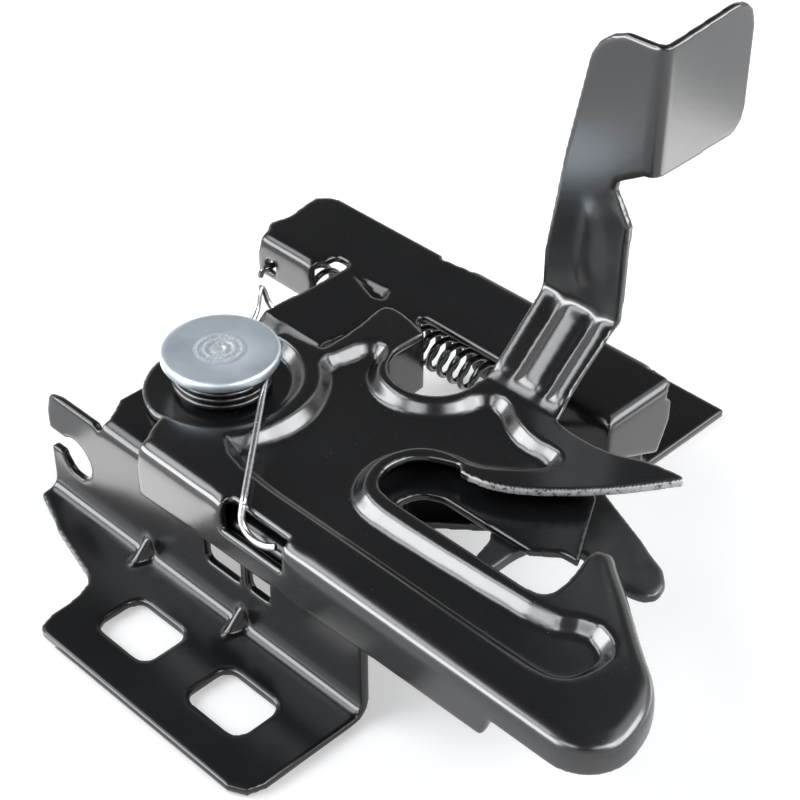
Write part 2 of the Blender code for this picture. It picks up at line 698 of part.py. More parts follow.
def build_safety_lever():
    bm = bmesh.new()
    outline, rim, well_far, arc_far, arc_near, strip = lever_outline()
    channel = lever_channel()
    crest = offset(channel, SLOPE)
    floor = arc((0, 0), WELL_R, -76, 96, 22)
    lip = arc((0, 0), WELL_R + SLOPE, -76, 96, 22)
    well_floor = [(*arc_near, LEVER_BASE), *raised(floor, LEVER_BASE), (*arc_far, LEVER_BASE)]
    well_lip = [(*strip, LEVER_TOP), *raised(lip, LEVER_TOP), (*well_far, LEVER_TOP)]
    bore = arc((0, 0), LEVER_BUSH_R + GAP, 0, 345, 23)
    sheet_patch(bm, outline, lines=[well_floor, well_lip],
                loops=[raised(channel, LEVER_BASE), raised(crest, LEVER_TOP)],
                holes=[raised(bore, LEVER_BASE)], place=flat_place)
    lever_ramp(bm)
    lever_handle(bm)
    bmesh.ops.remove_doubles(bm, verts=bm.verts, dist=0.02)
    roll_down(bm, rim, EDGE_ROLL, flange_foot)
    lever = close_sheet(bm, "safety_lever", black_sheet, lever_pivot)
    window = box_cutter("spring_window", (31.7, -30.0, 28.1), (49.7, FLANGE_Y + EDGE_ROLL + 0.4, 37.0))
    cut(lever, window)
    smooth(lever)
    return lever


def build_lever_pivot():
    """The lever's pivot: a large-headed rivet, the bush that the lever turns on and a washer."""
    top = DISC_Z[1]
    shank_foot = 22.9
    turned("lever_pivot_rivet",
           [(0.0, top), (DISC_R - 0.5, top), (DISC_R, top - 0.5), (DISC_R, DISC_Z[0] + 0.3),
            (DISC_R - 0.3, DISC_Z[0]), (LEVER_SHANK_R, DISC_Z[0]), (LEVER_SHANK_R, 25.8), (7.2, 25.8),
            (7.2, 24.0), (5.8, shank_foot), (0.0, shank_foot)], zinc, segments=48)
    turned("lever_bush",
           [(LEVER_BUSH_R, DISC_Z[0] - GAP), (LEVER_BUSH_R, WEB_Z + GAP),
            (LEVER_SHANK_R + GAP, WEB_Z + GAP), (LEVER_SHANK_R + GAP, DISC_Z[0] - GAP)], dark_steel)
    turned("lever_washer",
           [(8.4, WEB_Z - SHEET - GAP), (8.4, 26.1), (LEVER_SHANK_R + GAP, 26.1),
            (LEVER_SHANK_R + GAP, WEB_Z - SHEET - GAP)], zinc)


def build_lever_spring():
    """A torsion spring round the pivot: one leg hooks into the flange's window, the other ends in
    a narrow upright loop beside the raised plate."""
    low = LEVER_BASE + GAP + LEVER_WIRE / 2
    high = DISC_Z[0] - GAP - LEVER_WIRE / 2
    start, end = 118.0, 41.0
    turns = LEVER_COIL_TURNS + (start - end) / 360
    steps = round(turns * 20)
    coil = []
    for step in range(steps + 1):
        angle = math.radians(start - 360 * turns * step / steps)
        z = low + (high - low) * step / steps
        coil.append((LEVER_COIL_R * math.cos(angle), LEVER_COIL_R * math.sin(angle), z))
    loop = [(-12.6, 25.6, 33.6), (-13.6, 25.2, 35.4), (-13.9, 24.6, 38.0), (-13.7, 23.6, 39.4),
            (-13.2, 22.6, 38.4), (-12.4, 21.0, 35.4), (-10.6, 17.4, 33.8), (-7.6, 12.6, low)]
    leg = [(10.8, 3.2, high), (35.4, -24.6, 37.2), (36.4, -25.9, 36.4), (37.0, -26.9, 34.8),
           (37.8, -27.5, 32.9), (39.4, -27.7, 31.5), (42.0, -27.7, 30.9), (44.4, -27.3, 31.0),
           (46.2, -26.4, 31.4)]
    wire("lever_spring", loop + coil + leg, LEVER_WIRE, bright_wire)


# Catch and pawl


def catch_outline():
    """The rotary catch, open: spring arm, kick arm across the slot and the far prong."""
    cx, cy = CATCH_AT
    arm = [(cx - 3.4, cy + 11.0), (cx - 4.6, cy + 16.6), (cx - 7.2, cy + 18.4), (cx - 10.0, cy + 17.4),
           (cx - 11.0, cy + 14.6), (cx - 9.8, cy + 9.0)]
    hub = arc(CATCH_AT, CATCH_HUB_R, 146, 208, 7)
    notch = [(cx - 7.4, cy - 3.9), (cx - 6.2, cy - 7.0), (cx - 1.0, cy - 10.5)]
    kick = [(71.4, 8.0), (73.4, -0.6), (74.6, -3.2), (76.6, -3.8), (77.4, -2.6), (77.5, 8.0)]
    prong = [(78.2, 12.4), (80.0, 16.0), (83.0, 18.0), (88.0, 18.5), (100.0, 16.0), (103.6, 17.0),
             (105.3, 19.6), (104.4, 23.0), (101.4, 26.0), (89.2, 30.9), (79.3, 34.9)]
    return [*reversed(prong), *reversed(kick), *reversed(notch), *reversed(hub), *reversed(arm)]


def build_catch():
    bore = arc(CATCH_AT, BUSH_R + GAP, 0, 345, 23)
    hook = arc((CATCH_AT[0] - 7.5, CATCH_AT[1] + 14.8), 1.3, 0, 330, 11)
    plate = slab("catch", catch_outline(), *CATCH_Z, holes=[bore, hook], mat=dark_steel,
                 parent=catch_pivot)
    smooth(plate)
    stack = BACKING_Z + SHEET + GAP
    turned("catch_rivet",
           [(0.0, WEB_Z), (RIVET_R, WEB_Z), (RIVET_R, BACKING_Z - GAP), (7.0, BACKING_Z - GAP),
            (7.0, 16.6), (5.8, 15.6), (0.0, 15.6)], zinc, at=CATCH_AT)
    turned("catch_bush",
           [(BUSH_R, CATCH_Z[1]), (BUSH_R, 23.0), (8.0, 23.0), (8.0, stack), (RIVET_R + GAP, stack),
            (RIVET_R + GAP, CATCH_Z[1])], dark_steel, at=CATCH_AT)
    turned("catch_washer",
           [(9.6, CATCH_Z[0] - GAP), (9.6, 23.0 + GAP), (BUSH_R + GAP, 23.0 + GAP),
            (BUSH_R + GAP, CATCH_Z[0] - GAP)], zinc, at=CATCH_AT)


def pawl_outline():
    """The pawl: its beak rides on the catch's hub, its long arm takes the release cable."""
    px, py = PAWL_AT
    pawl_hub_r = BUSH_R + GAP + HUB_WALL
    face = arc(CATCH_AT, CATCH_HUB_R + GAP, 184, 160, 3)
    beak = face[-1]
    top = [(px + 5.0, py + 7.2), (px + 9.2, py + 15.0), *face,
           (beak[0] - 0.6, beak[1] + 2.4), (beak[0] - 3.4, beak[1] + 1.6),
           (px + 5.6, py + 19.0), (px - 1.0, py + 8.9)]
    hub = arc(PAWL_AT, pawl_hub_r, 110, 205, 6)
    arm = [(22.0, -6.6), (9.0, -9.4), (-3.0, -9.6), (-7.0, -6.2), (-14.6, -6.2), (-14.6, -12.4),
           (-8.4, -13.0), (-2.0, -16.4), (10.0, -16.2), (26.0, -12.6)]
    return [*top, *hub, *arm, *arc(PAWL_AT, pawl_hub_r, -70, 22, 6)]


def build_pawl():
    bore = arc(PAWL_AT, BUSH_R + GAP, 0, 345, 23)
    hole = arc((-11.4, -9.2), 1.7, 0, 330, 11)
    plate = slab("pawl", pawl_outline(), *CATCH_Z, holes=[bore, hole], mat=dark_steel, parent=pawl_pivot)
    smooth(plate)
    stack = BACKING_Z + SHEET + GAP
    turned("pawl_rivet",
           [(0.0, WEB_Z), (RIVET_R, WEB_Z), (RIVET_R, BACKING_Z - GAP), (7.0, BACKING_Z - GAP),
            (7.0, 16.6), (5.8, 15.6), (0.0, 15.6)], zinc, at=PAWL_AT)
    turned("pawl_bush",
           [(BUSH_R, CATCH_Z[1]), (BUSH_R, stack), (RIVET_R + GAP, stack),
            (RIVET_R + GAP, CATCH_Z[1])], dark_steel, at=PAWL_AT)
    turned("pawl_washer",
           [(8.6, CATCH_Z[0] - GAP), (8.6, 23.8), (BUSH_R + GAP, 23.8),
            (BUSH_R + GAP, CATCH_Z[0] - GAP)], zinc, at=PAWL_AT)
    coil = []
    steps = 28
    for step in range(steps + 1):
        angle = math.radians(360 * 1.4 * step / steps)
        radius = BUSH_R + GAP + PAWL_WIRE / 2 + 0.2
        z = stack + PAWL_WIRE / 2 + 1.9 * step / steps
        coil.append((PAWL_AT[0] + radius * math.cos(angle), PAWL_AT[1] + radius * math.sin(angle), z))
    legs = (coil[0][0], coil[0][1] - 15.0, coil[0][2]), (coil[-1][0] - 10.6, coil[-1][1] - 14.6, coil[-1][2])
    wire("pawl_spring", [legs[0], *coil, legs[1]], PAWL_WIRE, bright_wire)


def build_backing_plate():
    """The strap under the catch and the pawl that ties their rivets together."""
    first, second = Vector(PAWL_AT), Vector(CATCH_AT)
    along = (second - first).normalized()
    heading = math.degrees(math.atan2(along.y, along.x))
    outline = [*arc(first, 8.0, heading + 40, heading + 320, 12),
               *arc(second, 9.0, heading - 145, heading + 145, 12)]
    holes = [arc(spot, RIVET_R + GAP, 0, 345, 23) for spot in (PAWL_AT, CATCH_AT)]
    slab("backing_plate", outline, BACKING_Z, BACKING_Z + SHEET, holes=holes, mat=black_sheet)


def build_main_spring():
    """The extension spring behind the beam that swings the catch open."""
    steps = MAIN_TURNS * 12
    coil = []
    for step in range(steps + 1):
        angle = math.tau * MAIN_TURNS * step / steps
        x = MAIN_X[0] + (MAIN_X[1] - MAIN_X[0]) * step / steps
        coil.append((x, MAIN_Y - MAIN_COIL_R * math.cos(angle), MAIN_Z + MAIN_COIL_R * math.sin(angle)))
    left = [(-36.6, 43.0, 22.4), (-36.0, 43.4, 24.2), (-35.5, 45.0, 24.5), (-35.5, 48.6, 24.4),
            (-34.6, 50.2, 23.4), (-31.6, 50.2, 21.4)]
    eye = (CATCH_AT[0] - 7.5, CATCH_AT[1] + 14.8)
    right = [(46.4, 50.0, 21.4), (49.4, 48.6, 21.8), (56.4, 43.6, 22.6), (eye[0] - 0.1, eye[1] + 0.2, 23.8),
             (eye[0], eye[1], 28.6), (eye[0] - 1.2, eye[1] + 1.4, 29.4)]
    wire("main_spring", left + coil + right, MAIN_WIRE, dark_wire)


clear_scene()
parts = collection(COLLECTION)
cutters = collection("cutters")
black_sheet = material("black_painted_sheet", (0.012, 0.013, 0.014), 0.22, 0.0)
dark_steel = material("dark_steel", (0.05, 0.05, 0.055), 0.35, 0.6)
zinc = material("zinc_plated_steel", (0.55, 0.6, 0.65), 0.25, 0.9)
bright_wire = material("bright_wire", (0.5, 0.5, 0.5), 0.25, 1.0)
dark_wire = material("dark_wire", (0.12, 0.12, 0.12), 0.3, 0.8)
root = empty(ROOT, (-PIVOT_TO_SEAT[0], -PIVOT_TO_SEAT[1], 0.0))
lever_pivot = empty("lever_pivot", (0.0, 0.0, 0.0), root)
catch_pivot = empty("catch_pivot", (*CATCH_AT, 0.0), root)
pawl_pivot = empty("pawl_pivot", (*PAWL_AT, 0.0), root)

build_frame_plate()
build_safety_lever()
build_lever_pivot()
build_lever_spring()
build_catch()
build_pawl()
build_backing_plate()
build_main_spring()
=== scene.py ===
"""Dresses the bonnet latch for its picture: pressed sheet with glossy black paint, a zinc-plated
pivot disc, bright and dark springs, dark steel catch and pawl, on a pale floor in soft light."""

import math

import bmesh
import bpy
import numpy as np
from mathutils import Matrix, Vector


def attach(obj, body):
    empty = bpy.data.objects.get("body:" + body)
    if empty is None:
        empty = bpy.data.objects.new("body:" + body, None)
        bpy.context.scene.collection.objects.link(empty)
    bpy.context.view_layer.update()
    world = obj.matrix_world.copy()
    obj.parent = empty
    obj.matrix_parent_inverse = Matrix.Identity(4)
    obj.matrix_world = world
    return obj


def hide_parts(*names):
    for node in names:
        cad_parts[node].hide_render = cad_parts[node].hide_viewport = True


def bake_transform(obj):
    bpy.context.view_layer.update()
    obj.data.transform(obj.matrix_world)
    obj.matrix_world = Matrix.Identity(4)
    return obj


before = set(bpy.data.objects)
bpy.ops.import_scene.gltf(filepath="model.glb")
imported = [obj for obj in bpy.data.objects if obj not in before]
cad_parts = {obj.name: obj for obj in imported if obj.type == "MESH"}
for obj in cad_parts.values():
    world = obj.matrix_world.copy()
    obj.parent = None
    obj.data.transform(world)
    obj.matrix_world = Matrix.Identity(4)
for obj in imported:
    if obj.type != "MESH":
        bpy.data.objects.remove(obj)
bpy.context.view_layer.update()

MM = 0.001
PIVOT = (-34.7, 42.1)        # the safety lever's pivot in the frame's x and y, in millimetres


def place(x, y, z):
    """A point in metres from millimetres about the lever's pivot."""
    return Vector(((x + PIVOT[0]) * MM, (y + PIVOT[1]) * MM, z * MM))


def clear_selection():
    if bpy.context.object and bpy.context.object.mode != "OBJECT":
        bpy.ops.object.mode_set(mode="OBJECT")
    bpy.ops.object.select_all(action="DESELECT")


def pick(obj):
    clear_selection()
    obj.select_set(True)
    bpy.context.view_layer.objects.active = obj


def new_object(name, data):
    obj = bpy.data.objects.new(name, data)
    bpy.context.scene.collection.objects.link(obj)
    return obj


def apply_all(obj):
    pick(obj)
    for modifier in list(obj.modifiers):
        bpy.ops.object.modifier_apply(modifier=modifier.name)


def triangles(obj):
    return sum(len(face.vertices) - 2 for face in obj.data.polygons)


# Finishes

LEVER_PAINT_IOR = 1.70
BRACKET_PAINT_IOR = 1.52
PAINT_DARK = (0.0042, 0.0047, 0.0052)
PAINT_LIGHT = (0.0078, 0.0084, 0.0092)
DUST = (0.06, 0.062, 0.065)
CUT_EDGE = (0.62, 0.62, 0.63)
STAKED_ZINC = (0.95, 0.97, 0.98)
WIRE_DARK = (0.40, 0.40, 0.41)
WIRE_LIGHT = (0.62, 0.62, 0.63)
# Painted shade: the lever spring's coil lies in the pivot disc's shade and is painted near black
COIL_PAINTED_SHADE = (0.03, 0.03, 0.032)

# Radii about the pivot, in metres, between which one look of the disc turns into another, and over which the
# painted shade on the lever wire's coil fades out
STAKING_END = (0.0046, 0.0058)
TURNING_END = (0.006, 0.0125)
COIL_SHADE_END = (0.0115, 0.0135)


class Value:
    """A shader value that takes part in sums."""

    def __init__(self, finish, socket):
        self.finish = finish
        self.socket = socket

    def joined(self, operation, first, second):
        node = self.finish.node("ShaderNodeMath", {"operation": operation}, {0: first, 1: second})
        return Value(self.finish, node.outputs[0])

    def __add__(self, other):
        return self.joined("ADD", self, other)

    def __radd__(self, other):
        return self.joined("ADD", other, self)

    def __rsub__(self, other):
        return self.joined("SUBTRACT", other, self)

    def __mul__(self, other):
        return self.joined("MULTIPLY", self, other)

    def largest(self, other):
        return self.joined("MAXIMUM", self, other)


class Finish:
    """The nodes of one material, or of the world."""

    def __init__(self, owner, shader="Principled BSDF"):
        owner.use_nodes = True
        self.owner = owner
        self.tree = owner.node_tree
        self.shader = self.tree.nodes[shader]

    def node(self, kind, settings=None, inputs=None):
        """Adds a node, sets its settings first and then its inputs, which are values or links."""
        made = self.tree.nodes.new(kind)
        for key, value in (settings or {}).items():
            setattr(made, key, value)
        for key, value in (inputs or {}).items():
            self.feed(made.inputs[key], value)
        return made

    def feed(self, socket, value):
        if isinstance(value, Value):
            value = value.socket
        if hasattr(value, "is_output"):
            self.tree.links.new(value, socket)
        else:
            socket.default_value = value

    def set(self, **inputs):
        """Sets the shader's inputs, written small and with underscores."""
        for name, value in inputs.items():
            self.feed(self.shader.inputs[name.replace("_", " ").title().replace("Ior", "IOR")], value)

    def coordinates(self):
        return self.node("ShaderNodeTexCoord").outputs["Object"]

    def centred(self, vector, middle, scale=(1.0, 1.0, 1.0)):
        """The vector measured from another middle; a large scale leaves that axis out."""
        made = self.node("ShaderNodeMapping", {"vector_type": "TEXTURE"},
                         {"Vector": vector, "Location": middle, "Scale": scale})
        return made.outputs[0]

    def length(self, vector):
        made = self.node("ShaderNodeVectorMath", {"operation": "LENGTH"}, {0: vector})
        return Value(self, made.outputs["Value"])

    def noise(self, vector, scale, detail=2.0, roughness=0.5):
        made = self.node("ShaderNodeTexNoise", inputs={"Vector": vector, "Scale": scale,
                                                       "Detail": detail, "Roughness": roughness})
        return Value(self, made.outputs["Fac"])

    def step(self, value, low, high, first=0.0, last=1.0):
        """From first, at low and under it, to last, at high and over it."""
        made = self.node("ShaderNodeMapRange", {"interpolation_type": "SMOOTHSTEP"},
                         {"Value": value, "From Min": low, "From Max": high,
                          "To Min": first, "To Max": last})
        return Value(self, made.outputs["Result"])

    def blend(self, factor, first, second):
        """A colour between two: the first is numbers or a link, the second is numbers."""
        if isinstance(first, tuple):
            first = (*first, 1.0)
        made = self.node("ShaderNodeMix", {"data_type": "RGBA"}, {0: factor, 6: first, 7: (*second, 1.0)})
        return made.outputs[2]

    def bump(self, height, strength, distance, under=None):
        inputs = {"Height": height, "Strength": strength, "Distance": distance}
        if under is not None:
            inputs["Normal"] = under
        return self.node("ShaderNodeBump", inputs=inputs).outputs["Normal"]


def painted_sheet(name, ior):
    """Glossy black paint over pressed sheet: orange peel, faint haze and fine dust nibs."""
    finish = Finish(bpy.data.materials.new(name))
    where = finish.coordinates()
    haze = finish.noise(where, 38.0, detail=3.0)
    peel = finish.noise(where, 620.0, roughness=0.45)
    grain = finish.noise(where, 2600.0)
    nibs = finish.step(finish.noise(where, 1500.0, detail=1.0), 0.76, 0.82)
    flecks = finish.step(finish.noise(where, 700.0, detail=3.0, roughness=0.7), 0.30, 0.52)
    marked = finish.node("ShaderNodeAttribute", {"attribute_name": "bare"}).outputs["Fac"]
    bare = Value(finish, marked) * flecks
    dusty = finish.blend(nibs * 0.35, finish.blend(haze, PAINT_DARK, PAINT_LIGHT), DUST)
    wave = finish.bump(peel, strength=0.20, distance=0.00006)
    finish.set(base_color=finish.blend(bare, dusty, CUT_EDGE),
               roughness=0.16 + haze * 0.12 + nibs * 0.15 + bare * 0.15,
               normal=finish.bump(grain + nibs * 1.5, strength=0.10, distance=0.00002, under=wave),
               ior=ior)
    return finish.owner


def zinc_plate(name, colour, rings=None):
    """Zinc plating: a pale bluish skin with a crystalline cloud and, round rings, turning marks."""
    finish = Finish(bpy.data.materials.new(name))
    where = finish.coordinates()
    cloud = finish.noise(where, 160.0, detail=4.0, roughness=0.6)
    dark = tuple(value * 0.78 for value in colour)
    skin = finish.blend(cloud, dark, colour)
    height = finish.noise(where, 1800.0) * 0.4
    if rings:
        flat = finish.node("ShaderNodeVectorMath", {"operation": "MULTIPLY"},
                           {0: finish.centred(where, rings), 1: (1.0, 1.0, 0.0)}).outputs[0]
        radius = finish.length(flat)
        marks = finish.node("ShaderNodeTexWave", {"wave_type": "RINGS", "rings_direction": "SPHERICAL"},
                            {"Vector": flat, "Scale": 420.0, "Distortion": 0.6, "Detail": 2.0})
        fading = 1.0 - finish.step(radius, *TURNING_END) * 0.7
        staked = finish.step(radius, *STAKING_END, first=1.0, last=0.0)
        sparks = finish.step(finish.noise(where, 2400.0, roughness=0.8), 0.50, 0.62)
        height = height + Value(finish, marks.outputs["Fac"]) * fading * 0.6 + sparks * staked * 0.8
        skin = finish.blend(staked * sparks * 0.8, skin, STAKED_ZINC)
    finish.set(base_color=skin, roughness=(0.32 if rings else 0.26) + cloud * 0.16,
               normal=finish.bump(height, strength=0.22, distance=0.00004), metallic=0.75)
    return finish.owner


def plain_steel(name, dark, light, roughness, metallic, scale=300.0):
    """Bare or blackened steel with a mottled, slightly drawn surface."""
    finish = Finish(bpy.data.materials.new(name))
    where = finish.coordinates()
    mottle = finish.noise(where, scale, detail=4.0, roughness=0.6)
    fine = finish.noise(where, scale * 9.0)
    finish.set(base_color=finish.blend(mottle, dark, light),
               roughness=roughness - 0.06 + mottle * 0.14,
               normal=finish.bump(fine + mottle, strength=0.18, distance=0.00003), metallic=metallic)
    return finish.owner


def lever_wire_steel(name):
    """Bright drawn wire, with painted shade darkening its wound coil under the pivot disc."""
    finish = Finish(bpy.data.materials.new(name))
    where = finish.coordinates()
    radius = finish.length(finish.centred(where, place(0.0, 0.0, 0.0), (1.0, 1.0, 1000.0)))
    # Painted shade: the wire is darkened inside the coil's radius, where the pivot disc shades it
    coil = 1.0 - finish.step(radius, *COIL_SHADE_END)
    marks = finish.noise(where, 900.0, detail=3.0, roughness=0.6)
    steel = finish.blend(marks, WIRE_DARK, WIRE_LIGHT)
    finish.set(base_color=finish.blend(coil * 0.94, steel, COIL_PAINTED_SHADE), roughness=0.20 + marks * 0.12,
               normal=finish.bump(marks, strength=0.12, distance=0.00003), metallic=0.95)
    return finish.owner


LEVER_PAINT = painted_sheet("black_gloss_paint", LEVER_PAINT_IOR)
BRACKET_PAINT = painted_sheet("black_bracket_paint", BRACKET_PAINT_IOR)
ZINC_DISC = zinc_plate("zinc_pivot_disc", (0.60, 0.67, 0.72), rings=place(0.0, 0.0, 0.0))
ZINC = zinc_plate("zinc_small_parts", (0.42, 0.46, 0.50))
BUSH = plain_steel("black_steel_bush", (0.02, 0.02, 0.021), (0.06, 0.06, 0.062),
                   roughness=0.32, metallic=0.7)
CATCH = plain_steel("phosphated_steel", (0.030, 0.031, 0.032), (0.075, 0.076, 0.078),
                    roughness=0.30, metallic=0.55, scale=220.0)
LEVER_WIRE = lever_wire_steel("bright_lever_wire")
PAWL_WIRE = plain_steel("bright_pawl_wire", (0.35, 0.35, 0.36), (0.6, 0.6, 0.61),
                        roughness=0.24, metallic=0.95, scale=900.0)
MAIN_WIRE = plain_steel("oiled_spring_wire", (0.05, 0.05, 0.052), (0.16, 0.16, 0.165),
                        roughness=0.20, metallic=0.9, scale=500.0)


def paint_node(node, material):
    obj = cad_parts[node]
    if not obj.material_slots:
        obj.data.materials.append(material)
    for slot in obj.material_slots:
        slot.link = "OBJECT"
        slot.material = material


# Pressed sheets, with measures in millimetres

WELD = 1e-6                  # in metres
WEIGHT_LEVELS = 20
BEAM_ROLL = [(-41.0, 46.4), (-22.0, 46.4)]
WALL_CORNER = (-29.5, -25.0, 27.5)

# The lever's rolled rim, softened all along except at the window, and its other soft places
LEVER_TOP = 35.3
NOSE_FOOT = 28.2
SHEET = 2.0
ROLL_R = 2.8
ROLL_INWARD = 1.0
ROLL_LINE = [(5.0, -27.4), (105.0, -27.4), (118.8, -27.1), (122.4, -26.3), (125.4, -24.0), (127.3, -21.2),
             (127.9, -18.2), (127.5, -14.9), (126.0, -11.4), (123.0, -6.0), (115.8, -0.3), (105.2, 8.3),
             (98.2, 13.6), (95.2, 16.2)]
ROLL_GAPS = [[(125.01, -12.256), (124.437, -10.919), (123.725, -9.575), (122.875, -8.225), (121.812, -6.912)],
             [(113.256, -0.088), (110.862, 1.825), (108.237, 3.975), (105.85, 5.881), (103.7, 7.544)]]
WINDOW_MIDDLE = 40.7
WINDOW_HALF = 9.0
HORN_EDGE = [(62.0, 12.9), (65.3, 13.8), (71.1, 17.2), (77.7, 22.9), (83.8, 29.6), (88.5, 36.0), (92.4, 42.2)]
HORN_ROOT = [(57.0, 18.4), (62.0, 21.0), (67.0, 26.0)]
HANDLE_BEAD = [(48.0, 58.0), (56.0, 58.0)]
BEAD_HEIGHT = 64.0
RAMP_SIDE = [(50.5, 41.0), (50.0, 57.0)]
PRONG_X = 93.0


def sheet_copy(node, name):
    """A welded copy of a CAD sheet, ready to be softened."""
    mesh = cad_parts[node].data.copy()
    mesh.name = name
    mesh.materials.clear()
    obj = new_object(name, mesh)
    bm = bmesh.new()
    bm.from_mesh(mesh)
    bmesh.ops.remove_doubles(bm, verts=bm.verts, dist=WELD)
    bmesh.ops.recalc_face_normals(bm, faces=bm.faces)
    bm.to_mesh(mesh)
    bm.free()
    return obj


def press(obj, voxel):
    """Turns a sheet into an even skin that can be rounded."""
    remesh = obj.modifiers.new("pressing", "REMESH")
    remesh.mode = "VOXEL"
    remesh.voxel_size = voxel * MM
    apply_all(obj)


def relax(obj, rounds, group=""):
    """Rounds a skin by smoothing, everywhere or by a group's weights."""
    rounding = obj.modifiers.new("rounding", "SMOOTH")
    rounding.factor = 0.5
    rounding.iterations = rounds
    rounding.vertex_group = group
    apply_all(obj)


def thin_out(obj, share):
    """Keeps a share of the triangles, fewest where the skin is flat."""
    thin = obj.modifiers.new("thinning", "DECIMATE")
    thin.ratio = share
    apply_all(obj)


def shade_smooth(obj):
    pick(obj)
    bpy.ops.object.shade_smooth()


def about_pivot(obj):
    """The vertices' places in millimetres about the lever's pivot, and their normals."""
    count = len(obj.data.vertices)
    spots = np.empty(count * 3)
    normals = np.empty(count * 3)
    obj.data.vertices.foreach_get("co", spots)
    obj.data.vertices.foreach_get("normal", normals)
    return spots.reshape(-1, 3) / MM - np.array((*PIVOT, 0.0)), normals.reshape(-1, 3)


def distance_to(path, spots):
    """How far each place is from a path, seen from above."""
    nearest = np.full(len(spots), np.inf)
    for first, last in zip(path, path[1:]):
        start = np.array(first[:2])
        step = np.array(last[:2]) - start
        share = np.clip((spots[:, :2] - start) @ step / (step @ step), 0.0, 1.0)
        gap = np.linalg.norm(spots[:, :2] - start - share[:, None] * step, axis=1)
        nearest = np.minimum(nearest, gap)
    return nearest


def fade(values, full, none):
    """1 on the side of full and 0 on the side of none, eased between them."""
    share = np.clip((values - none) / (full - none), 0.0, 1.0)
    return share * share * (3.0 - 2.0 * share)


def weigh(obj, name, weights):
    """Makes a vertex group with its weights in even levels."""
    group = obj.vertex_groups.new(name=name)
    levels = np.round(weights * WEIGHT_LEVELS).astype(int)
    for level in range(1, WEIGHT_LEVELS + 1):
        members = np.nonzero(levels == level)[0]
        if len(members):
            group.add([int(member) for member in members], level / WEIGHT_LEVELS, "REPLACE")


def mark_bare(obj, weights):
    """Marks where the cut edge shows metal through the paint."""
    layer = obj.data.attributes.new("bare", "FLOAT", "POINT")
    layer.data.foreach_set("value", weights.astype(np.float32))


def finish_piece(obj, body, material, node):
    """Gives a piece its material and, when a body is given, its body; hides the node it stands for."""
    obj.data.materials.clear()
    obj.data.materials.append(material)
    obj.vertex_groups.clear()
    if body:
        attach(obj, body)
    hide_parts(node)
    print(obj.name, triangles(obj), "triangles")


def dress_bracket():
    plate = sheet_copy("frame_plate", "bracket_skin")
    press(plate, voxel=0.6)
    spots, _ = about_pivot(plate)
    beam = fade(distance_to(BEAM_ROLL, spots), full=2.0, none=4.0) * fade(spots[:, 2], full=28.6, none=26.8)
    corner = fade(np.linalg.norm(spots - np.array(WALL_CORNER), axis=1), full=1.5, none=4.5)
    weigh(plate, "soft", np.maximum(beam, corner))
    relax(plate, rounds=40, group="soft")
    relax(plate, rounds=5)
    thin_out(plate, share=0.65)
    shade_smooth(plate)
    finish_piece(plate, "bracket", BRACKET_PAINT, "frame_plate")
    strap = sheet_copy("backing_plate", "backing_skin")
    press(strap, voxel=0.5)
    relax(strap, rounds=4)
    shade_smooth(strap)
    finish_piece(strap, "bracket", BRACKET_PAINT, "backing_plate")


def roll_section():
    """The rim's rolled edge in section: how far out, and how high."""
    inner = ROLL_R - SHEET
    section = [(-ROLL_INWARD, LEVER_TOP)]
    for turn in (0.0, 22.5, 45.0, 67.5, 90.0):
        angle = math.radians(turn)
        section.append((ROLL_R * math.sin(angle), LEVER_TOP - ROLL_R * (1.0 - math.cos(angle))))
    section += [(ROLL_R, NOSE_FOOT), (inner, NOSE_FOOT)]
    for turn in (90.0, 45.0, 0.0):
        angle = math.radians(turn)
        section.append((inner * math.sin(angle), LEVER_TOP - ROLL_R + inner * math.cos(angle)))
    section.append((-ROLL_INWARD, LEVER_TOP - SHEET))
    return section


def roll_strip(run):
    """A length of the rim's rolled edge, over the sheet's own thickness."""
    bm = bmesh.new()
    rows = []
    section = roll_section()
    for index, spot in enumerate(run):
        before = Vector(run[max(index - 1, 0)])
        after = Vector(run[min(index + 1, len(run) - 1)])
        along = (after - before).normalized()
        rows.append([bm.verts.new(place(spot[0] + along.y * out, spot[1] - along.x * out, z))
                     for out, z in section])
    for low, high in zip(rows, rows[1:]):
        for corner in range(len(section)):
            following = (corner + 1) % len(section)
            bm.faces.new([low[corner], low[following], high[following], high[corner]])
    bm.faces.new(rows[0])
    bm.faces.new(rows[-1])
    bmesh.ops.recalc_face_normals(bm, faces=bm.faces)
    mesh = bpy.data.meshes.new("roll_strip")
    bm.to_mesh(mesh)
    bm.free()
    return new_object("roll_strip", mesh)


def lever_softness(spots):
    """How much of the strong rounding each place of the lever gets."""
    height = spots[:, 2]
    rim = fade(distance_to(ROLL_LINE, spots), full=2.2, none=4.6) * fade(height, full=31.6, none=29.4)
    rim *= fade(np.abs(spots[:, 0] - WINDOW_MIDDLE), full=WINDOW_HALF + 6.0, none=WINDOW_HALF + 1.5)
    bead = fade(distance_to(HANDLE_BEAD, spots), full=1.5, none=3.0)
    bead *= fade(np.abs(height - BEAD_HEIGHT), full=13.0, none=16.0)
    root = fade(distance_to(HORN_ROOT, spots), full=3.0, none=5.0) * 0.3
    ramp = fade(distance_to(RAMP_SIDE, spots), full=12.0, none=14.0) * 0.35
    ramp *= fade(height, full=36.8, none=35.8) * fade(height, full=47.5, none=49.5)
    return np.maximum.reduce([rim, bead, root, ramp])


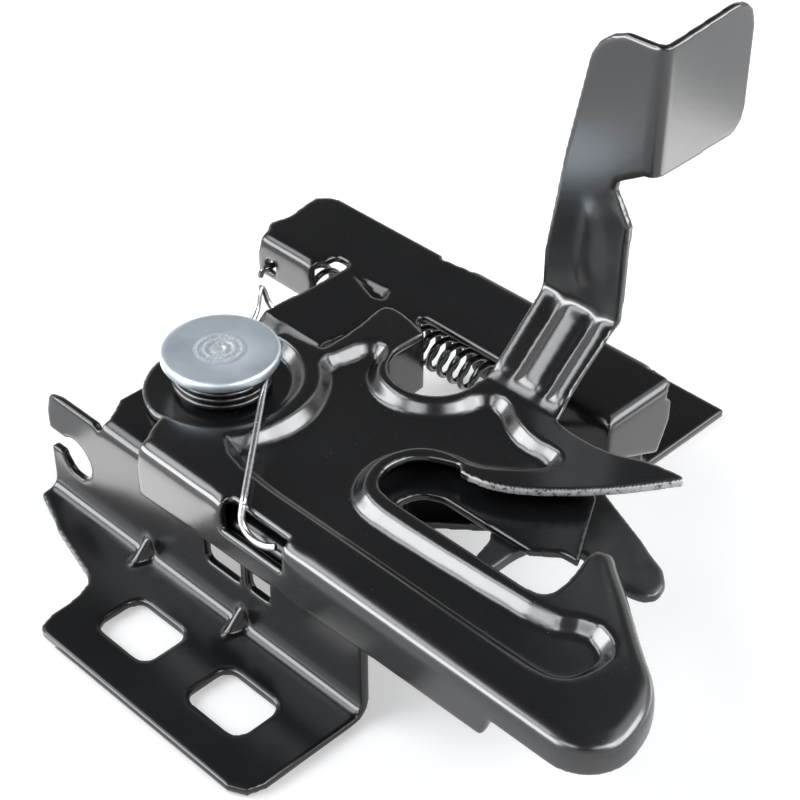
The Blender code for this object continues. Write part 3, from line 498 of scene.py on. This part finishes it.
def dress_lever():
    lever = sheet_copy("safety_lever", "lever_skin")
    for run in ROLL_GAPS:
        roll = roll_strip(run)
        pick(lever)
        roll.select_set(True)
        bpy.ops.object.join()
    press(lever, voxel=0.5)
    spots, _ = about_pivot(lever)
    weigh(lever, "soft", lever_softness(spots))
    relax(lever, rounds=60, group="soft")
    weigh(lever, "even", 1.0 - 0.7 * fade(distance_to(HORN_EDGE, spots), full=2.0, none=3.5))
    relax(lever, rounds=7, group="even")
    thin_out(lever, share=0.8)
    shade_smooth(lever)
    spots, normals = about_pivot(lever)
    edge = fade(distance_to(HORN_EDGE, spots), full=0.9, none=1.5)
    mark_bare(lever, edge * fade(np.abs(normals[:, 2]), full=0.55, none=0.8))
    finish_piece(lever, "lever", LEVER_PAINT, "safety_lever")


def dress_catch_and_pawl():
    """Dresses both, with the catch's far prong rounded more than the rest."""
    for node, body in (("catch", "catch_claw"), ("pawl", "release_pawl")):
        plate = sheet_copy(node, node + "_skin")
        press(plate, voxel=0.45)
        spots, _ = about_pivot(plate)
        weigh(plate, "prong", fade(spots[:, 0], full=PRONG_X + 4.0, none=PRONG_X))
        relax(plate, rounds=30, group="prong")
        relax(plate, rounds=6)
        thin_out(plate, share=0.6)
        shade_smooth(plate)
        finish_piece(plate, body, CATCH, node)


# The turned pivot, with measures in millimetres

DISC_SIDES = 128
DISC_CREASE = 40             # in degrees, the sharpest angle still shaded smooth
RIM_MIDDLE_R, RIM_MIDDLE_Z, RIM_R = 12.2, 41.2, 0.8
DISC_STAKING = [(0.35, 41.72), (0.9, 41.78), (1.25, 41.98), (1.7, 41.98), (2.1, 41.84), (2.6, 41.84),
                (2.95, 42.0), (3.45, 42.0), (3.8, 41.88), (4.3, 41.88), (4.65, 41.99), (5.2, 41.99),
                (5.6, 41.86), (6.0, 41.86), (6.35, 41.95), (11.6, 41.98)]
DISC_UNDER = [(13.0, 40.1), (12.8, 39.7), (12.3, 39.5), (5.05, 39.5), (5.0, 39.4), (5.0, 25.8), (7.0, 25.8),
              (7.2, 25.6), (7.2, 24.2), (7.0, 23.9), (5.8, 22.95), (5.5, 22.9), (0.4, 22.9)]


def turned(name, rings):
    """A turned piece: a circle drawn through its rings (radius, z) by extruding and scaling."""
    clear_selection()
    first = rings[0]
    bpy.ops.mesh.primitive_circle_add(vertices=DISC_SIDES, radius=first[0] * MM, fill_type="NGON",
                                      location=place(0.0, 0.0, first[1]))
    piece = bpy.context.object
    piece.name = name
    bpy.ops.object.transform_apply(location=True, rotation=False, scale=False)
    bpy.ops.object.mode_set(mode="EDIT")
    bpy.ops.mesh.select_all(action="SELECT")
    centre = place(0.0, 0.0, 0.0)
    for (radius, z), (next_radius, next_z) in zip(rings, rings[1:]):
        bpy.ops.mesh.extrude_region_move(TRANSFORM_OT_translate={"value": (0.0, 0.0, (next_z - z) * MM)})
        grow = next_radius / radius
        bpy.ops.transform.resize(value=(grow, grow, 1.0),
                                 center_override=(centre.x, centre.y, next_z * MM))
    bpy.ops.mesh.select_all(action="SELECT")
    bpy.ops.mesh.normals_make_consistent(inside=False)
    bpy.ops.object.mode_set(mode="OBJECT")
    return piece


def dress_pivot():
    """The pivot's wide disc with its staking rings, a fillet at the rim, and the shank below it."""
    rim = [(RIM_MIDDLE_R + RIM_R * math.sin(math.radians(angle)),
            RIM_MIDDLE_Z + RIM_R * math.cos(math.radians(angle))) for angle in (12, 30, 48, 66, 84)]
    disc = turned("pivot_disc", DISC_STAKING + rim + DISC_UNDER)
    bpy.ops.object.shade_smooth_by_angle(angle=math.radians(DISC_CREASE))
    finish_piece(disc, "bracket", ZINC_DISC, "lever_pivot_rivet")


# Springs, with measures in millimetres and degrees about the pivot

BEND_STEPS = 6
COIL_STEPS = 56
WIRE, THIN_WIRE = 1.5, 1.2   # diameters
WIRE_CREASE = 50
LEVER_COIL_R = 10.2
LEVER_COIL_LOW, LEVER_COIL_HIGH = 33.35, 38.45
LEVER_COIL_START, LEVER_COIL_SWEEP = 118.0, 360 * 3 + 77.0
LEVER_LOOP = [(-12.6, 25.6, 33.6), (-13.6, 25.2, 35.4), (-13.9, 24.6, 38.0), (-13.7, 23.6, 39.4),
              (-13.2, 22.6, 38.4), (-12.4, 21.0, 35.4), (-10.6, 17.4, 33.8), (-7.6, 12.6, LEVER_COIL_LOW)]
LEVER_LEG = [(10.8, 3.2, LEVER_COIL_HIGH), (23.1, -10.7, 37.8), (35.4, -24.6, 37.2), (36.4, -25.9, 36.4),
             (37.0, -26.9, 34.8), (37.8, -27.5, 32.9), (39.4, -27.7, 31.5), (42.0, -27.7, 30.9),
             (44.4, -27.3, 31.0), (46.2, -26.4, 31.4)]
LEG_ON_BRACKET = (7.9, -9.1, LEVER_COIL_HIGH)
LEG_ON_LEVER = (24.9, -28.8, LEVER_COIL_HIGH)
PAWL_COIL_MIDDLE, PAWL_COIL_R = (40.0, 5.0), 7.1
PAWL_COIL_LOW, PAWL_COIL_RISE, PAWL_COIL_SWEEP = 20.9, 1.9, 360 * 1.4
PAWL_FIRST_LEG = (0.0, -15.0)
PAWL_LAST_LEG = (-10.6, -14.6)
MAIN_TURNS, MAIN_TURN_STEPS, MAIN_COIL_R = 22, 28, 4.2
MAIN_START, MAIN_END = -29.0, 44.0
MAIN_AXIS_Y, MAIN_AXIS_Z = 53.6, 20.0
MAIN_LEFT_HOOK = [(-36.6, 43.0, 22.4), (-36.0, 43.4, 24.2), (-35.5, 45.0, 24.5), (-35.5, 48.6, 24.4),
                  (-34.6, 50.2, 23.4), (-31.6, 50.2, 21.4)]
MAIN_RIGHT_HOOK = [(46.4, 50.0, 21.4), (49.4, 48.6, 21.8), (56.4, 43.6, 22.6), (58.4, 42.0, 23.8),
                   (58.5, 41.8, 28.6), (57.3, 43.2, 29.4)]


def eased(points):
    """A smooth run through the points of a bent wire."""
    spots = [Vector(point) for point in points]
    run = []
    for index in range(len(spots) - 1):
        first = spots[max(index - 1, 0)]
        start, end = spots[index], spots[index + 1]
        last = spots[min(index + 2, len(spots) - 1)]
        for step in range(BEND_STEPS):
            t = step / BEND_STEPS
            run.append(0.5 * (2 * start + (end - first) * t + (2 * first - 5 * start + 4 * end - last) * t * t
                              + (3 * start - first - 3 * end + last) * t * t * t))
    run.append(spots[-1])
    return run


def ended(before, coil, after):
    """A coil between two bent ends."""
    return eased(before + [coil[0]])[:-1] + coil[:-1] + eased([coil[-1]] + after)


def wire(name, points, diameter):
    """A round wire through its points, made a closed mesh."""
    curve = bpy.data.curves.new(name, "CURVE")
    curve.dimensions = "3D"
    curve.bevel_depth = diameter / 2 * MM
    curve.bevel_resolution = 4
    curve.use_fill_caps = True
    spline = curve.splines.new("POLY")
    spline.points.add(len(points) - 1)
    for point, spot in zip(spline.points, points):
        point.co = (*place(*spot), 1.0)
    pick(new_object(name, curve))
    bpy.ops.object.convert(target="MESH")
    obj = bpy.context.object
    bpy.ops.object.mode_set(mode="EDIT")
    bpy.ops.mesh.select_all(action="SELECT")
    bpy.ops.mesh.remove_doubles(threshold=WELD)
    bpy.ops.mesh.normals_make_consistent(inside=False)
    bpy.ops.object.mode_set(mode="OBJECT")
    bpy.ops.object.shade_smooth_by_angle(angle=math.radians(WIRE_CREASE))
    return obj


def helix(radius, start, sweep, low, high, centre=(0.0, 0.0)):
    """A coil about an upright axis, from its first angle through its sweep."""
    steps = round(abs(sweep) / 360 * COIL_STEPS)
    points = []
    for step in range(steps + 1):
        angle = math.radians(start + sweep * step / steps)
        points.append((centre[0] + radius * math.cos(angle), centre[1] + radius * math.sin(angle),
                       low + (high - low) * step / steps))
    return points


def dress_lever_spring():
    coil = helix(LEVER_COIL_R, LEVER_COIL_START, -LEVER_COIL_SWEEP, LEVER_COIL_LOW, LEVER_COIL_HIGH)
    spring = wire("lever_spring_wire", ended(LEVER_LOOP, coil, LEVER_LEG), WIRE)
    finish_piece(spring, None, LEVER_WIRE, "lever_spring")
    place(*LEG_ON_BRACKET)
    place(*LEG_ON_LEVER)
    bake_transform(spring)


def dress_pawl_spring():
    coil = helix(PAWL_COIL_R, 0.0, PAWL_COIL_SWEEP, PAWL_COIL_LOW, PAWL_COIL_LOW + PAWL_COIL_RISE,
                 PAWL_COIL_MIDDLE)
    first, last = [(end[0] + leg[0], end[1] + leg[1], end[2])
                   for end, leg in ((coil[0], PAWL_FIRST_LEG), (coil[-1], PAWL_LAST_LEG))]
    spring = wire("pawl_spring_wire", [first, *coil, last], THIN_WIRE)
    finish_piece(spring, "bracket", PAWL_WIRE, "pawl_spring")


def dress_main_spring():
    steps = MAIN_TURNS * MAIN_TURN_STEPS
    coil = []
    for step in range(steps + 1):
        angle = math.tau * MAIN_TURNS * step / steps
        coil.append((MAIN_START + (MAIN_END - MAIN_START) * step / steps,
                     MAIN_AXIS_Y - MAIN_COIL_R * math.cos(angle),
                     MAIN_AXIS_Z + MAIN_COIL_R * math.sin(angle)))
    spring = wire("main_spring_wire", ended(MAIN_LEFT_HOOK, coil, MAIN_RIGHT_HOOK), WIRE)
    finish_piece(spring, "bracket", MAIN_WIRE, "main_spring")


# Stage, with measures in metres where nothing else is said

WHITE = (1.0, 1.0, 1.0, 1.0)
BLACK = (0.0, 0.0, 0.0, 1.0)
PAPER = (0.86, 0.86, 0.86, 1.0)
LAMP_COLOUR = (0.95, 0.97, 1.0)
LIFT_NEAR = (0.38, 0.38, 0.38)
LIFT_FAR = (1.0, 1.0, 1.0)
LIFT_CHANGE = (0.14, 0.55)   # radii between which the floor's lift grows
WORLD_LIGHT, WORLD_SEEN = 0.12, 1.0
FLOOR_SIZE, FLOOR_HEIGHT = 6.0, -0.0004
LATCH_MIDDLE = (0.01, 0.06, 0.035)

# Cards that only glossy surfaces see: name, size, middle and strength
CARDS = [("ceiling", (4.4, 4.4), (0.0, 0.0, 1.15), 0.11),
         ("card_left", (0.052, 0.042), place(-16.0, -54.0, -0.2), 3.8),
         ("card_beam", (0.050, 0.050), place(-66.0, 14.0, -0.2), 4.0),
         ("card_near", (0.110, 0.070), place(75.0, 85.0, -0.2), 1.6),
         ("card_tab", (0.090, 0.100), place(165.0, 165.0, -0.2), 5.0)]

# Soft boxes: name, direction from the latch, distance, size, watts, and whether it gives highlights
# (True) or light without highlights (False)
LAMPS = [("left_light", (-0.60, -0.57, 0.56), 0.9, (0.95, 0.7), 9.0, False),
         ("right_light", (0.62, 0.48, 0.60), 0.9, (0.95, 0.7), 8.0, False),
         ("left_strip", (-0.55, -0.76, 0.35), 0.85, (1.05, 0.38), 16.0, True),
         ("left_high", (-0.56, -0.35, 0.75), 0.85, (0.80, 0.27), 4.6, True),
         ("front_left", (0.12, -0.77, 0.63), 0.85, (0.40, 0.20), 2.0, True),
         ("front_right", (0.77, -0.12, 0.63), 0.85, (0.40, 0.20), 2.0, True),
         ("right_core", (0.76, 0.40, 0.50), 0.85, (0.95, 0.42), 13.0, True),
         ("right_wide", (0.38, 0.60, 0.72), 0.95, (0.9, 0.7), 4.5, True)]

LENS, SENSOR = 87.03, 36.0   # in millimetres
CAMERA_PLACE = (0.2275, -0.1659, 0.2859)
CAMERA_AZIMUTH, CAMERA_ELEVATION = 45.0, 37.8
CLIP_START = 0.01


def stage_plane(name, size, location, material):
    clear_selection()
    bpy.ops.mesh.primitive_plane_add(size=size, location=location)
    plane = bpy.context.object
    plane.name = name
    plane.data.materials.append(material)
    return plane


def floor_finish():
    """White paper that keeps the shadow and is lifted to white where the camera looks."""
    finish = Finish(bpy.data.materials.new("pale_floor"))
    finish.set(base_color=PAPER, roughness=0.9, specular_ior_level=0.0)
    rays = finish.node("ShaderNodeLightPath").outputs
    seen = Value(finish, rays["Is Camera Ray"]) + rays["Is Glossy Ray"] + rays["Is Transmission Ray"]
    far = finish.step(finish.length(finish.coordinates()), *LIFT_CHANGE)
    glow = finish.blend(far, LIFT_NEAR, LIFT_FAR)
    lift = finish.node("ShaderNodeEmission", inputs={"Color": glow, "Strength": seen})
    both = finish.node("ShaderNodeAddShader", inputs={0: finish.shader.outputs[0], 1: lift.outputs[0]})
    finish.feed(finish.tree.nodes["Material Output"].inputs["Surface"], both.outputs[0])
    return finish.owner


def glow_finish(name, strength):
    finish = Finish(bpy.data.materials.new(name))
    finish.set(base_color=BLACK, roughness=1.0, specular_ior_level=0.0, emission_color=WHITE,
               emission_strength=strength)
    return finish.owner


def reflector(name, size, location, strength):
    """A glowing card that only glossy surfaces see."""
    card = stage_plane(name, 1.0, (0.0, 0.0, 0.0), glow_finish(name, strength))
    for vertex in card.data.vertices:
        vertex.co = Vector((vertex.co.x * size[0], vertex.co.y * size[1], 0.0)) + Vector(location)
    card.visible_camera = False
    card.visible_diffuse = False
    card.visible_shadow = False
    card.visible_transmission = False


def soft_lamp(name, direction, distance, size, power, shine):
    """An oblong soft box that faces the latch: shine makes highlights only, otherwise light only."""
    lamp = bpy.data.lights.new(name, "AREA")
    lamp.shape = "RECTANGLE"
    lamp.size, lamp.size_y = size
    lamp.energy = power
    lamp.color = LAMP_COLOUR
    obj = new_object(name, lamp)
    obj.visible_diffuse = not shine
    obj.visible_glossy = shine
    toward = Vector(direction).normalized()
    obj.location = Vector(LATCH_MIDDLE) + toward * distance
    obj.rotation_euler = toward.to_track_quat("Z", "Y").to_euler()


def set_world():
    """White where it is seen or mirrored, and dim where it lights the latch."""
    world = bpy.data.worlds.new("studio")
    bpy.context.scene.world = world
    finish = Finish(world, "Background")
    rays = finish.node("ShaderNodeLightPath").outputs
    seen = Value(finish, rays["Is Camera Ray"]).largest(rays["Is Glossy Ray"])
    level = finish.node("ShaderNodeMapRange", inputs={"Value": seen.largest(rays["Is Transmission Ray"]),
                                                      "To Min": WORLD_LIGHT, "To Max": WORLD_SEEN})
    finish.set(color=WHITE, strength=level.outputs[0])


def set_stage():
    stage_plane("floor", FLOOR_SIZE, (0.0, 0.0, FLOOR_HEIGHT), floor_finish())
    for card in CARDS:
        reflector(*card)
    set_world()
    for lamp in LAMPS:
        soft_lamp(*lamp)


def set_camera():
    data = bpy.data.cameras.new("photo_camera")
    data.lens = LENS
    data.sensor_width = SENSOR
    data.clip_start = CLIP_START
    camera = new_object("photo_camera", data)
    camera.location = CAMERA_PLACE
    azimuth, elevation = math.radians(CAMERA_AZIMUTH), math.radians(CAMERA_ELEVATION)
    back = Vector((math.sin(azimuth) * math.cos(elevation), -math.cos(azimuth) * math.cos(elevation),
                   math.sin(elevation)))
    camera.rotation_euler = back.to_track_quat("Z", "Y").to_euler()
    bpy.context.scene.camera = camera


dress_bracket()
dress_lever()
dress_catch_and_pawl()
dress_pivot()
dress_lever_spring()
dress_pawl_spring()
dress_main_spring()
for node in ("lever_bush", "catch_bush", "pawl_bush"):
    paint_node(node, BUSH)
for node in ("lever_washer", "catch_rivet", "catch_washer", "pawl_rivet", "pawl_washer"):
    paint_node(node, ZINC)
set_stage()
set_camera()
bpy.context.scene.view_settings.view_transform = "Standard"
